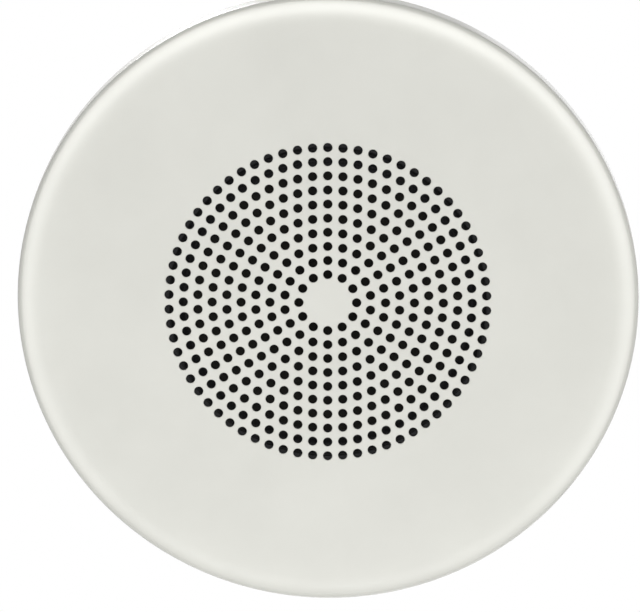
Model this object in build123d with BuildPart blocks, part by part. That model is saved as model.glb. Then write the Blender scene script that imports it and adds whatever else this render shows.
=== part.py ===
"""Round in-ceiling loudspeaker: perforated steel baffle, 200 mm class driver, line transformer.

Millimetres. Z points up into the ceiling void, the perforated face looks down, and the origin is the
centre of the ring where the skirt of the baffle meets the ceiling.
"""
import os
from math import asin, cos, hypot, radians, sin, tan

from build123d import *

# Baffle, one drawn and punched sheet
baffle_diameter = 327.0
baffle_depth = 15.0
baffle_sheet = 0.8
edge_run = 13.0
edge_rise = 5.0
hole_pitch = 7.6
hole_diameter = 4.8
first_ring = 2
last_ring = 11
holes_per_step = 6

# Motor
pole_diameter = 24.6
pole_proud = 0.5
coil_gap_inner = 0.45
former_wall = 0.15
winding_build = 0.6
winding_height = 8.0
former_tail = 0.3
coil_gap_outer = 0.5
magnet_inner_gap = 7.0
magnet_ring_width = 19.0
magnet_thickness = 15.0
plate_inset = 2.5
front_plate_thickness = 5.0
yoke_thickness = 5.0
motor_chamfer = 0.8

# Basket, one stamped sheet
basket_sheet = 1.0
basket_bend = 2.0
back_margin = 2.5
back_hole_margin = 6.0
seat_wall_run = 3.0
seat_width = 9.0
basket_shelf_width = 17.0
shelf_height = 12.0
seat_height = 34.0
basket_depth = 46.0
arm_count = 4
arm_width = 17.0
window_margin = 2.5
window_corner = 4.0
bead_width = 7.0
bead_rise = 1.4
bead_end_margin = 3.0

# Moving system
cone_radius = 74.0
cone_sheet = 0.5
cone_rim_width = 2.6
cone_rim_height = 2.5
cone_neck_height = 29.0
cone_neck_length = 2.5
cone_bow = 4.0
dust_cap_radius = 18.0
dust_cap_dome = 6.5
dust_cap_sheet = 0.4
glue_line = 0.08

# Surround and spider
surround_width = 9.5
surround_sheet = 0.4
pleat_count = 3
pleat_bulge = 1.1
lip_width = 8.5
wall_clearance = 0.4
spider_sheet = 0.4
spider_arcs = 8
spider_bulge = 1.3
spider_collar = 2.0

# Flange, gasket and fasteners
gasket_thickness = 3.0
stud_diameter = 4.2
stud_inner_margin = 4.5
stud_outer_margin = 6.2
stud_length = 11.0
weld_collar_diameter = 6.0
weld_collar_height = 0.8
stud_clearance = 0.4
nut_across_flats = 8.7
nut_height = 3.4
nut_flange_diameter = 10.0
nut_flange_height = 1.0
thread_clearance = 0.05
plate_rivet_diameter = 4.5
plate_rivet_head = 7.5
plate_rivet_head_height = 1.5

# Terminal board on the spider seat
board_width = 24.0
board_thickness = 1.6
board_overhang = 15.0
board_corner = 2.0
board_rivet_diameter = 3.2
board_rivet_head = 5.5
board_rivet_head_height = 1.2
lug_spacing = 14.0
lug_width = 5.0
lug_sheet = 0.6
lug_height = 9.0
lug_eye = 1.8
eyelet_diameter = 2.4
eyelet_head = 4.0
eyelet_head_height = 0.5

# Leads
tinsel_diameter = 1.2
tinsel_reach = 38.0
tinsel_bend = 9.0
hookup_diameter = 1.7
hookup_bend = 4.0
hookup_spacing = 4.0

# Line transformer on the basket shelf
leg_width = 11.6
stack_depth = 13.0
coil_overhang = 5.6
bobbin_wall = 0.8
bobbin_clearance = 0.15
winding_inset = 0.4
winding_corner = 2.0
rail_depth = 3.0
rail_height = 3.0
strap_sheet = 0.8
strap_clearance = 0.1
strap_bend = 1.2
ear_length = 11.0
strap_rivet_diameter = 3.4
strap_rivet_head = 6.4
strap_rivet_head_height = 1.3
tap_count = 5
tap_spacing = 4.4
secondary_spacing = 12.0
tap_width = 1.4
tap_sheet = 0.5
tap_length = 7.0

# Torsion springs that hold the baffle to the ceiling
spring_gap = 5.0
spring_wire = 2.0
spring_coil_radius = 6.5
spring_turns = 2
spring_pitch = 2.2
spring_spread = 12.0
spring_leg = 60.0
spring_hook = 8.0
spring_hook_bend = 3.0
bracket_sheet = 1.2
bracket_foot = 18.0
bracket_bend = 1.6
coil_height = 14.0
bracket_crown = 7.0
stop_width = 4.0
stop_clearance = 0.15
coil_side_gap = 0.6
pin_clearance = 0.4
pin_head_height = 1.2
pin_tail_diameter = 5.0
pin_tail_head = 8.0
pin_tail_height = 1.0

# Levels
face_z = -baffle_depth
inner_z = face_z + baffle_sheet
flange_z = inner_z + gasket_thickness
shelf_z = flange_z + shelf_height
seat_z = flange_z + seat_height
back_z = flange_z + basket_depth
plate_back_z = back_z + front_plate_thickness
yoke_z = plate_back_z + magnet_thickness
rim_z = flange_z + cone_rim_height
neck_z = flange_z + cone_neck_height

# Radii, from the pole outwards
baffle_radius = baffle_diameter / 2
pole_radius = pole_diameter / 2
former_inner = pole_radius + coil_gap_inner
former_outer = former_inner + former_wall
winding_outer = former_outer + winding_build
plate_hole = winding_outer + coil_gap_outer
magnet_inner = plate_hole + magnet_inner_gap
magnet_outer = magnet_inner + magnet_ring_width
plate_radius = magnet_outer - plate_inset
back_radius = plate_radius + back_margin
back_hole = plate_hole + back_hole_margin
seat_inner = back_radius + seat_wall_run
seat_outer = seat_inner + seat_width
surround_outer = cone_radius + surround_width
wall_radius = surround_outer + wall_clearance
shelf_inner = wall_radius - basket_shelf_width
lip_outer = wall_radius + lip_width
stud_radius = lip_outer + stud_inner_margin
flange_radius = stud_radius + stud_outer_margin
stud_start = 180 / arm_count
rivet_circle = (back_hole + plate_radius) / 2


def wave_points(start, end, count):
    """Evenly spaced points on the straight line between two profile points."""
    return [
        (start[0] + (end[0] - start[0]) * i / count, start[1] + (end[1] - start[1]) * i / count)
        for i in range(count + 1)
    ]


def add_wave(start, end, count, bulge):
    """Alternating arcs from start to end, each standing off the line by the bulge."""
    points = wave_points(start, end, count)
    span = hypot(end[0] - start[0], end[1] - start[1])
    across = (-(end[1] - start[1]) / span, (end[0] - start[0]) / span)
    for i in range(count):
        a, b = points[i], points[i + 1]
        rise = bulge if i % 2 else -bulge
        middle = ((a[0] + b[0]) / 2 + across[0] * rise, (a[1] + b[1]) / 2 + across[1] * rise)
        ThreePointArc(a, middle, b)


def tube_along(points, bend, diameter):
    """Round wire along a polyline with rounded corners."""
    with BuildPart() as wire:
        with BuildLine() as path:
            FilletPolyline(*points, radius=bend)
        with BuildSketch(Plane(origin=path.line @ 0, z_dir=path.line % 0)):
            Circle(diameter / 2)
        sweep(path=path.line)
    return wire.part


# Baffle
with BuildPart() as grille_baffle:
    with BuildSketch(Plane.XZ):
        with BuildLine():
            edge_start = baffle_radius - edge_run
            edge_z = face_z + edge_rise
            Polyline((edge_start, face_z), (0, face_z), (0, inner_z), (edge_start, inner_z))
            EllipticalCenterArc(
                (edge_start, edge_z), edge_run - baffle_sheet, edge_rise - baffle_sheet, 270, arc_size=90
            )
            Polyline(
                (baffle_radius - baffle_sheet, edge_z),
                (baffle_radius - baffle_sheet, 0),
                (baffle_radius, 0),
                (baffle_radius, edge_z),
            )
            EllipticalCenterArc((edge_start, edge_z), edge_run, edge_rise, 270, arc_size=90)
        make_face()
    revolve(axis=Axis.Z)
    with BuildSketch(Plane.XY.offset(face_z)):
        for ring in range(first_ring, last_ring + 1):
            with PolarLocations(ring * hole_pitch, holes_per_step * ring, start_angle=90):
                Circle(hole_diameter / 2)
    extrude(amount=baffle_sheet, mode=Mode.SUBTRACT)

with BuildPart() as weld_studs:
    with BuildSketch(Plane.XY.offset(inner_z)):
        with PolarLocations(stud_radius, arm_count, start_angle=stud_start):
            Circle(weld_collar_diameter / 2)
    extrude(amount=weld_collar_height)
    with BuildSketch(Plane.XY.offset(inner_z)):
        with PolarLocations(stud_radius, arm_count, start_angle=stud_start):
            Circle(stud_diameter / 2)
    extrude(amount=stud_length)
    chamfer(weld_studs.edges().group_by(Axis.Z)[-1], stud_diameter / 8)

with BuildPart() as gasket_ring:
    with BuildSketch(Plane.XY.offset(inner_z)):
        Circle(flange_radius - stud_clearance)
        Circle(wall_radius, mode=Mode.SUBTRACT)
        with PolarLocations(stud_radius, arm_count, start_angle=stud_start):
            Circle(weld_collar_diameter / 2 + stud_clearance, mode=Mode.SUBTRACT)
    extrude(amount=gasket_thickness)
    with BuildSketch(Plane.XY.offset(flange_z)):
        Circle(lip_outer + stud_clearance)
    extrude(amount=-surround_sheet, mode=Mode.SUBTRACT)

with BuildPart() as stud_nuts:
    with BuildSketch(Plane.XY.offset(flange_z + basket_sheet)):
        with PolarLocations(stud_radius, arm_count, start_angle=stud_start):
            Circle(nut_flange_diameter / 2)
            Circle(stud_diameter / 2 + thread_clearance, mode=Mode.SUBTRACT)
    extrude(amount=nut_flange_height)
    with BuildSketch(Plane.XY.offset(flange_z + basket_sheet + nut_flange_height)):
        with PolarLocations(stud_radius, arm_count, start_angle=stud_start):
            RegularPolygon(nut_across_flats / 2, 6, major_radius=False)
            Circle(stud_diameter / 2 + thread_clearance, mode=Mode.SUBTRACT)
    extrude(amount=nut_height)

# Driver basket
slope = Vector(seat_outer - shelf_inner, 0, seat_z - shelf_z)
slope_normal = Vector(seat_z - shelf_z, 0, shelf_inner - seat_outer).normalized()
bead_length = slope.length - 2 * bead_end_margin
window_outer = shelf_inner - window_margin
window_inner = seat_outer + window_margin
transformer_width = 3 * leg_width
transformer_height = 2.5 * leg_width
ear_hole_x = transformer_width / 2 + strap_clearance + strap_sheet + ear_length / 2
transformer_y = shelf_inner + basket_bend + stack_depth / 2
shelf_top = shelf_z + basket_sheet
seat_top = seat_z + basket_sheet
board_rivet_x = (seat_inner + seat_outer) / 2

with BuildPart() as basket:
    with BuildSketch(Plane.XZ):
        with BuildLine():
            FilletPolyline(
                (flange_radius, flange_z),
                (wall_radius, flange_z),
                (wall_radius, shelf_z),
                (shelf_inner, shelf_z),
                (seat_outer, seat_z),
                (seat_inner, seat_z),
                (back_radius, back_z - basket_sheet),
                (back_hole, back_z - basket_sheet),
                radius=basket_bend,
            )
            offset(amount=basket_sheet, side=Side.RIGHT)
        make_face()
    revolve(axis=Axis.Z)
    with BuildSketch(Plane.XY.offset(flange_z)):
        Circle(window_outer)
        Circle(window_inner, mode=Mode.SUBTRACT)
        with PolarLocations(0, arm_count, start_angle=stud_start):
            Rectangle(2 * wall_radius, arm_width, mode=Mode.SUBTRACT)
        fillet(vertices(), min(window_corner, (window_outer - window_inner) / 3))
    extrude(amount=basket_depth, mode=Mode.SUBTRACT)
    for arm in range(arm_count):
        middle = Vector((shelf_inner + seat_outer) / 2, 0, (shelf_z + seat_z) / 2)
        turn = stud_start + arm * 360 / arm_count
        bead_plane = Plane(
            origin=middle.rotate(Axis.Z, turn),
            x_dir=slope.rotate(Axis.Z, turn),
            z_dir=slope_normal.rotate(Axis.Z, turn),
        )
        with BuildSketch(bead_plane):
            SlotOverall(bead_length, bead_width)
        extrude(amount=basket_sheet + bead_rise)
        with BuildSketch(bead_plane.offset(-basket_sheet)):
            SlotOverall(bead_length - 2 * basket_sheet, bead_width - 2 * basket_sheet)
        extrude(amount=basket_sheet + bead_rise, mode=Mode.SUBTRACT)
    with BuildSketch(Plane.XY.offset(flange_z)):
        with PolarLocations(stud_radius, arm_count, start_angle=stud_start):
            Circle(stud_diameter / 2 + stud_clearance)
        with Locations((ear_hole_x, transformer_y), (-ear_hole_x, transformer_y)):
            Circle(strap_rivet_diameter / 2)
        with PolarLocations(rivet_circle, arm_count):
            Circle(plate_rivet_diameter / 2)
        with Locations((board_rivet_x, 0)):
            Circle(board_rivet_diameter / 2)
    extrude(amount=basket_depth, mode=Mode.SUBTRACT)

# Motor
with BuildPart() as front_plate:
    with BuildSketch(Plane.XY.offset(back_z)):
        Circle(plate_radius)
        Circle(plate_hole, mode=Mode.SUBTRACT)
        with PolarLocations(rivet_circle, arm_count):
            Circle(plate_rivet_diameter / 2, mode=Mode.SUBTRACT)
    extrude(amount=front_plate_thickness)
    chamfer(front_plate.faces().filter_by(GeomType.CYLINDER).sort_by(SortBy.AREA)[-1].edges()
            .filter_by(GeomType.CIRCLE), motor_chamfer)

with BuildPart() as magnet_ring:
    with BuildSketch(Plane.XY.offset(plate_back_z)):
        Circle(magnet_outer)
        Circle(magnet_inner, mode=Mode.SUBTRACT)
    extrude(amount=magnet_thickness)
    chamfer(magnet_ring.edges().filter_by(GeomType.CIRCLE), motor_chamfer)

with BuildPart() as pole_yoke:
    with BuildSketch(Plane.XY.offset(yoke_z)):
        Circle(plate_radius)
    extrude(amount=yoke_thickness)
    chamfer(pole_yoke.edges().filter_by(GeomType.CIRCLE), motor_chamfer)
    with BuildSketch(Plane.XY.offset(yoke_z)):
        Circle(pole_radius)
    extrude(amount=-(magnet_thickness + front_plate_thickness + pole_proud))

with BuildPart() as plate_rivets:
    with BuildSketch(Plane.XY.offset(back_z - basket_sheet)):
        with PolarLocations(rivet_circle, arm_count):
            Circle(plate_rivet_head / 2)
    extrude(amount=-plate_rivet_head_height)
    chamfer(plate_rivets.edges().group_by(Axis.Z)[0], plate_rivet_head_height / 2)
    with BuildSketch(Plane.XY.offset(back_z - basket_sheet)):
        with PolarLocations(rivet_circle, arm_count):
            Circle(plate_rivet_diameter / 2)
    extrude(amount=basket_sheet + front_plate_thickness)

# Moving system
cone_neck_end = (former_outer, neck_z)
cone_foot = (former_outer, neck_z - cone_neck_length)
cone_edge = (cone_radius - cone_rim_width, rim_z)
cone_mid = (
    (cone_foot[0] + cone_edge[0]) / 2 - cone_bow / 2,
    (cone_foot[1] + cone_edge[1]) / 2 - cone_bow,
)

with BuildPart() as cone:
    with BuildSketch(Plane.XZ):
        with BuildLine():
            Line((cone_radius, rim_z), cone_edge)
            ThreePointArc(cone_edge, cone_mid, cone_foot)
            Line(cone_foot, cone_neck_end)
            Line(cone_neck_end, (former_outer + cone_sheet, neck_z))
            Line((former_outer + cone_sheet, neck_z), (cone_foot[0] + cone_sheet, cone_foot[1] + cone_sheet))
            ThreePointArc(
                (cone_foot[0] + cone_sheet, cone_foot[1] + cone_sheet),
                (cone_mid[0] + cone_sheet / 2, cone_mid[1] + cone_sheet),
                (cone_edge[0], cone_edge[1] + cone_sheet),
            )
            Polyline(
                (cone_edge[0], cone_edge[1] + cone_sheet),
                (cone_radius, rim_z + cone_sheet),
                (cone_radius, rim_z),
            )
        make_face()
    revolve(axis=Axis.Z)

cone_front = ThreePointArc(cone_edge, cone_mid, cone_foot)
cap_foot = min(
    (cone_front @ (i / 400) for i in range(401)), key=lambda p: abs(p.X - dust_cap_radius)
)
cap_z = cap_foot.Y - glue_line - dust_cap_sheet

cap_sphere = (dust_cap_radius**2 + dust_cap_dome**2) / (2 * dust_cap_dome)
cap_angle = asin(dust_cap_radius / cap_sphere)
cap_centre = cap_z - dust_cap_dome + cap_sphere


def cap_point(depth, share):
    """Point of the dome, at a depth under its front and a share of its half angle."""
    reach = cap_sphere - depth
    return (reach * sin(cap_angle * share), cap_centre - reach * cos(cap_angle * share))


with BuildPart() as dust_cap:
    with BuildSketch(Plane.XZ):
        with BuildLine():
            ThreePointArc(cap_point(0, 0), cap_point(0, 0.5), cap_point(0, 1))
            Line(cap_point(0, 1), cap_point(dust_cap_sheet, 1))
            ThreePointArc(*(cap_point(dust_cap_sheet, share) for share in (1, 0.5, 0)))
            Line(cap_point(dust_cap_sheet, 0), cap_point(0, 0))
        make_face()
    revolve(axis=Axis.Z)

winding_z = (back_z + plate_back_z) / 2

with BuildPart() as coil_former:
    with BuildSketch(Plane.XY.offset(neck_z - cone_neck_length)):
        Circle(former_outer)
        Circle(former_inner, mode=Mode.SUBTRACT)
    extrude(amount=winding_z + winding_height / 2 + former_tail - neck_z + cone_neck_length)

with BuildPart() as voice_coil:
    with BuildSketch(Plane.XY.offset(winding_z - winding_height / 2)):
        Circle(winding_outer)
        Circle(former_outer, mode=Mode.SUBTRACT)
    extrude(amount=winding_height)

# Surround and spider
with BuildPart() as surround:
    with BuildSketch(Plane.XZ):
        with BuildLine():
            lip_z = flange_z - surround_sheet
            band_z = rim_z - glue_line - surround_sheet
            Line((lip_outer, lip_z), (surround_outer, lip_z))
            add_wave((surround_outer, lip_z), (cone_radius, band_z), pleat_count, pleat_bulge)
            Polyline(
                (cone_radius, band_z),
                (cone_edge[0], band_z),
                (cone_edge[0], band_z + surround_sheet),
                (cone_radius, band_z + surround_sheet),
            )
            add_wave(
                (surround_outer, lip_z + surround_sheet),
                (cone_radius, band_z + surround_sheet),
                pleat_count,
                pleat_bulge,
            )
            Line((surround_outer, lip_z + surround_sheet), (lip_outer, lip_z + surround_sheet))
            Line((lip_outer, lip_z + surround_sheet), (lip_outer, lip_z))
        make_face()
    revolve(axis=Axis.Z)

with BuildPart() as spider:
    with BuildSketch(Plane.XZ):
        spider_inner = former_outer + glue_line
        spider_outer = seat_outer - basket_bend
        spider_z = seat_z - spider_sheet
        wave_start = seat_inner - spider_collar
        wave_end = spider_inner + spider_collar
        with BuildLine():
            Line((spider_outer, spider_z), (wave_start, spider_z))
            add_wave((wave_start, spider_z), (wave_end, spider_z), spider_arcs, spider_bulge)
            Line((wave_end, spider_z), (spider_inner, spider_z))
            Line((spider_inner, spider_z), (spider_inner, seat_z))
            Line((spider_inner, seat_z), (wave_end, seat_z))
            add_wave((wave_start, seat_z), (wave_end, seat_z), spider_arcs, spider_bulge)
            Line((wave_start, seat_z), (spider_outer, seat_z))
            Line((spider_outer, seat_z), (spider_outer, spider_z))
        make_face()
    revolve(axis=Axis.Z)

# Terminal board
board_inner = seat_inner + basket_bend
board_outer = seat_outer + board_overhang
board_top = seat_top + board_thickness
lug_circle = (window_inner + window_outer) / 2
lug_x = (lug_circle**2 - (lug_spacing / 2) ** 2) ** 0.5
lug_sides = (-lug_spacing / 2, lug_spacing / 2)

with BuildPart() as terminal_board:
    with BuildSketch(Plane.XY.offset(seat_top)):
        with Locations(((board_inner + board_outer) / 2, 0)):
            Rectangle(board_outer - board_inner, board_width)
        fillet(vertices(), board_corner)
        with Locations((board_rivet_x, 0)):
            Circle(board_rivet_diameter / 2, mode=Mode.SUBTRACT)
        with Locations(*[(lug_x, side) for side in lug_sides]):
            Circle(eyelet_diameter / 2, mode=Mode.SUBTRACT)
    extrude(amount=board_thickness)

with BuildPart() as board_rivet:
    with BuildSketch(Plane.XY.offset(board_top)):
        with Locations((board_rivet_x, 0)):
            Circle(board_rivet_head / 2)
    extrude(amount=board_rivet_head_height)
    chamfer(board_rivet.edges().group_by(Axis.Z)[-1], board_rivet_head_height / 2)
    with BuildSketch(Plane.XY.offset(board_top)):
        with Locations((board_rivet_x, 0)):
            Circle(board_rivet_diameter / 2)
    extrude(amount=-(board_thickness + basket_sheet))

with BuildPart() as terminal_lugs:
    for side in lug_sides:
        with BuildSketch(Plane.XY.offset(board_top)):
            with Locations((lug_x, side)):
                Rectangle(lug_width * 2 - lug_sheet * 2, lug_width)
        extrude(amount=lug_sheet)
        lug_end = lug_x + lug_width - lug_sheet
        with BuildSketch(Plane.YZ.offset(lug_end - lug_sheet)):
            with Locations((side, board_top + lug_height / 2)):
                Rectangle(lug_width, lug_height)
            with Locations((side, board_top + lug_height - lug_width / 2)):
                Circle(lug_eye / 2, mode=Mode.SUBTRACT)
        extrude(amount=lug_sheet)
        with BuildSketch(Plane.XY.offset(board_top)):
            with Locations((lug_x, side)):
                Circle(eyelet_diameter / 2)
        extrude(amount=-(board_thickness + eyelet_head_height))
        with BuildSketch(Plane.XY.offset(seat_top)):
            with Locations((lug_x, side)):
                Circle(eyelet_head / 2)
        extrude(amount=-eyelet_head_height)

# Tinsel leads, from the back of the cone through a window to the lugs
tinsel_start_x = cone_radius - tinsel_reach
cone_back = min(
    (cone_front @ (i / 400) for i in range(401)), key=lambda p: abs(p.X - tinsel_start_x)
)
tinsel_z = cone_back.Y + 2 * cone_sheet + tinsel_diameter
tinsel_top = seat_top - eyelet_head_height - glue_line

tinsel_leads = {}
for name, side in (("tinsel_lead_plus", lug_sides[1]), ("tinsel_lead_minus", lug_sides[0])):
    tinsel_leads[name] = tube_along(
        [
            (tinsel_start_x, side, tinsel_z),
            (lug_x, side, tinsel_z),
            (lug_x, side, tinsel_top),
        ],
        tinsel_bend,
        tinsel_diameter,
    )

# Line transformer
transformer = Plane(origin=(0, transformer_y, shelf_top))
window_height = 1.5 * leg_width
core_leg_z = leg_width / 2
bobbin_reach = stack_depth / 2 + coil_overhang
flange_half = leg_width - bobbin_clearance
tube_x = leg_width / 2 + bobbin_clearance
tube_y = stack_depth / 2 + bobbin_clearance
flange_low = core_leg_z + bobbin_clearance
flange_high = core_leg_z + window_height - bobbin_clearance

with BuildPart() as transformer_core:
    with BuildSketch(transformer):
        Rectangle(transformer_width, stack_depth)
    extrude(amount=transformer_height)
    with BuildSketch(Plane.XZ.offset(-transformer_y)):
        for side in (-1, 1):
            with Locations((side * 0.75 * leg_width, shelf_top + transformer_height / 2)):
                Rectangle(leg_width / 2, window_height)
    extrude(amount=stack_depth / 2, both=True, mode=Mode.SUBTRACT)

with BuildPart() as transformer_bobbin:
    for level in (flange_low, flange_high - bobbin_wall):
        with BuildSketch(transformer.offset(level)):
            Rectangle(2 * flange_half, 2 * bobbin_reach)
            fillet(vertices(), winding_corner)
        extrude(amount=bobbin_wall)
    with BuildSketch(transformer.offset(flange_low)):
        Rectangle(2 * (tube_x + bobbin_wall), 2 * (tube_y + bobbin_wall))
    extrude(amount=flange_high - flange_low)
    with BuildSketch(transformer.offset(flange_high - bobbin_wall)):
        for side in (-1, 1):
            with Locations((0, side * (bobbin_reach + rail_depth / 2 - winding_corner / 2))):
                Rectangle(2 * flange_half, rail_depth + winding_corner)
    extrude(amount=rail_height)
    with BuildSketch(transformer.offset(flange_low)):
        Rectangle(2 * tube_x, 2 * tube_y)
    extrude(amount=flange_high - flange_low, mode=Mode.SUBTRACT)
    rail_y = bobbin_reach + rail_depth / 2
    rail_top = flange_high - bobbin_wall + rail_height
    with BuildSketch(transformer.offset(rail_top)):
        with Locations((0, rail_y)):
            with GridLocations(tap_spacing, 1, tap_count, 1):
                Rectangle(tap_width, tap_sheet)
        with Locations((0, -rail_y)):
            with GridLocations(secondary_spacing, 1, 2, 1):
                Rectangle(tap_width, tap_sheet)
    extrude(amount=-rail_height * 0.8, mode=Mode.SUBTRACT)

with BuildPart() as tap_lugs:
    with BuildSketch(transformer.offset(rail_top)):
        with Locations((0, rail_y)):
            with GridLocations(tap_spacing, 1, tap_count, 1):
                Rectangle(tap_width, tap_sheet)
        with Locations((0, -rail_y)):
            with GridLocations(secondary_spacing, 1, 2, 1):
                Rectangle(tap_width, tap_sheet)
    extrude(amount=tap_length)
    extrude(tap_lugs.faces().group_by(Axis.Z)[0], amount=rail_height * 0.8)

with BuildPart() as transformer_winding:
    with BuildSketch(transformer.offset(flange_low + bobbin_wall)):
        Rectangle(2 * (flange_half - winding_inset), 2 * (bobbin_reach - winding_inset))
        fillet(vertices(), winding_corner)
        Rectangle(2 * (tube_x + bobbin_wall), 2 * (tube_y + bobbin_wall), mode=Mode.SUBTRACT)
    extrude(amount=flange_high - flange_low - 2 * bobbin_wall)

with BuildPart() as transformer_strap:
    strap_x = transformer_width / 2 + strap_clearance
    strap_z = shelf_top + transformer_height + strap_clearance
    with BuildSketch(Plane.XZ.offset(-transformer_y)):
        with BuildLine():
            FilletPolyline(
                (strap_x + strap_sheet + ear_length, shelf_top),
                (strap_x, shelf_top),
                (strap_x, strap_z),
                (-strap_x, strap_z),
                (-strap_x, shelf_top),
                (-strap_x - strap_sheet - ear_length, shelf_top),
                radius=(strap_bend, 0, 0, strap_bend),
            )
            offset(amount=strap_sheet, side=Side.RIGHT)
        make_face()
    extrude(amount=stack_depth / 2, both=True)
    with BuildSketch(Plane.XY.offset(shelf_top)):
        with Locations((ear_hole_x, transformer_y), (-ear_hole_x, transformer_y)):
            Circle(strap_rivet_diameter / 2)
    extrude(amount=strap_sheet, mode=Mode.SUBTRACT)

with BuildPart() as strap_rivets:
    with BuildSketch(Plane.XY.offset(shelf_top + strap_sheet)):
        with Locations((ear_hole_x, transformer_y), (-ear_hole_x, transformer_y)):
            Circle(strap_rivet_head / 2)
    extrude(amount=strap_rivet_head_height)
    chamfer(strap_rivets.edges().group_by(Axis.Z)[-1], strap_rivet_head_height / 2)
    with BuildSketch(Plane.XY.offset(shelf_top + strap_sheet)):
        with Locations((ear_hole_x, transformer_y), (-ear_hole_x, transformer_y)):
            Circle(strap_rivet_diameter / 2)
    extrude(amount=-(strap_sheet + basket_sheet + strap_rivet_head_height))
    with BuildSketch(Plane.XY.offset(shelf_z)):
        with Locations((ear_hole_x, transformer_y), (-ear_hole_x, transformer_y)):
            Circle((strap_rivet_diameter + strap_rivet_head) / 4)
    extrude(amount=-strap_rivet_head_height)

# Secondary leads, from the transformer to the driver lugs
tap_top = shelf_top + rail_top + tap_length
lead_y = transformer_y - rail_y + tap_sheet / 2 + hookup_diameter / 2
eye_z = board_top + lug_height - lug_width / 2
secondary_leads = {}
for name, tap_side, lane in (("secondary_lead_red", 1, 0), ("secondary_lead_black", -1, 1)):
    over_z = max(tap_top, eye_z + hookup_bend) + hookup_bend + lane * hookup_spacing
    out_x = lug_end + 2 * hookup_bend + lane * hookup_spacing
    lug_y = tap_side * lug_spacing / 2
    tap_x = tap_side * secondary_spacing / 2
    secondary_leads[name] = tube_along(
        [
            (tap_x, lead_y, tap_top - tap_length / 2),
            (tap_x, lead_y, over_z),
            (out_x, lug_y, over_z),
            (out_x, lug_y, eye_z),
            (lug_end, lug_y, eye_z),
        ],
        hookup_bend,
        hookup_diameter,
    )

# Torsion springs that pull the baffle up
bracket_x = flange_radius + spring_gap
bracket_face = bracket_x + bracket_sheet
pin_z = inner_z + coil_height
coil_turns = spring_turns + (180 - 2 * spring_spread) / 360
coil_x = bracket_face + spring_wire / 2 + coil_side_gap
coil_end_x = coil_x + spring_pitch * coil_turns + spring_wire / 2 + coil_side_gap
spread = radians(spring_spread)
stop_z = pin_z + bracket_crown - stop_width / 2
leg_y = spring_coil_radius * cos(spread) + (bracket_crown + spring_coil_radius * sin(spread)) * tan(spread)
stop_y = leg_y + spring_wire / 2 + stop_clearance
pin_radius = spring_coil_radius - spring_wire / 2 - pin_clearance


def spring_bracket(turn):
    """Angle bracket with two stops for the legs of the spring."""
    with BuildPart() as bracket:
        with BuildSketch(Plane.XZ):
            with BuildLine():
                FilletPolyline(
                    (bracket_x + bracket_foot, inner_z),
                    (bracket_x, inner_z),
                    (bracket_x, pin_z + bracket_crown),
                    radius=bracket_bend,
                )
                offset(amount=bracket_sheet, side=Side.RIGHT)
            make_face()
        extrude(amount=stop_y + bracket_sheet, both=True)
        with BuildSketch(Plane.YZ.offset(bracket_x)):
            with Locations((stop_y + bracket_sheet / 2, stop_z), (-stop_y - bracket_sheet / 2, stop_z)):
                Rectangle(bracket_sheet, stop_width)
        extrude(amount=coil_end_x - bracket_x)
        with BuildSketch(Plane.YZ.offset(bracket_x)):
            with Locations((0, pin_z)):
                Circle(pin_tail_diameter / 2)
        extrude(amount=bracket_sheet, mode=Mode.SUBTRACT)
    return bracket.part.rotate(Axis.Z, turn)


def torsion_spring(turn):
    """Wound wire with two splayed legs that run tangent out of the coil."""
    coil_plane = Plane(
        origin=(coil_x, 0, pin_z), x_dir=(0, -cos(spread), -sin(spread)), z_dir=(1, 0, 0)
    )
    coil = coil_plane.location * Helix(spring_pitch, spring_pitch * coil_turns, spring_coil_radius)
    with BuildPart() as spring:
        with BuildLine() as path:
            leg_end = coil @ 0 - coil % 0 * spring_leg
            FilletPolyline(leg_end - Vector(0, spring_hook, 0), leg_end, coil @ 0, radius=spring_hook_bend)
            add(coil)
            leg_end = coil @ 1 + coil % 1 * spring_leg
            FilletPolyline(coil @ 1, leg_end, leg_end + Vector(0, spring_hook, 0), radius=spring_hook_bend)
        with BuildSketch(Plane(origin=path.line @ 0, z_dir=path.line % 0)):
            Circle(spring_wire / 2)
        sweep(path=path.line)
    return spring.part.rotate(Axis.Z, turn)


with BuildPart() as spring_pins:
    for turn in (0, 180):
        pin_plane = Plane(origin=(0, 0, pin_z), x_dir=(0, 1, 0), z_dir=(1, 0, 0)).rotated((0, 0, turn))
        for start, end, radius in (
            (bracket_x - pin_tail_height, bracket_x, pin_tail_head / 2),
            (bracket_x, bracket_face, pin_tail_diameter / 2),
            (bracket_face, coil_end_x, pin_radius),
            (coil_end_x, coil_end_x + pin_head_height, spring_coil_radius),
        ):
            with BuildSketch(pin_plane.offset(start)):
                Circle(radius)
            extrude(amount=end - start)

pieces = {
    "grille_baffle": grille_baffle.part,
    "weld_studs": weld_studs.part,
    "gasket_ring": gasket_ring.part,
    "stud_nuts": stud_nuts.part,
    "basket": basket.part,
    "front_plate": front_plate.part,
    "magnet_ring": magnet_ring.part,
    "pole_yoke": pole_yoke.part,
    "plate_rivets": plate_rivets.part,
    "cone": cone.part,
    "dust_cap": dust_cap.part,
    "coil_former": coil_former.part,
    "voice_coil": voice_coil.part,
    "surround": surround.part,
    "spider": spider.part,
    "terminal_board": terminal_board.part,
    "board_rivet": board_rivet.part,
    "terminal_lugs": terminal_lugs.part,
    "transformer_core": transformer_core.part,
    "transformer_bobbin": transformer_bobbin.part,
    "transformer_winding": transformer_winding.part,
    "transformer_strap": transformer_strap.part,
    "tap_lugs": tap_lugs.part,
    "strap_rivets": strap_rivets.part,
    "spring_bracket_right": spring_bracket(0),
    "spring_bracket_left": spring_bracket(180),
    "torsion_spring_right": torsion_spring(0),
    "torsion_spring_left": torsion_spring(180),
    "spring_pins": spring_pins.part,
    **tinsel_leads,
    **secondary_leads,
}
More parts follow.
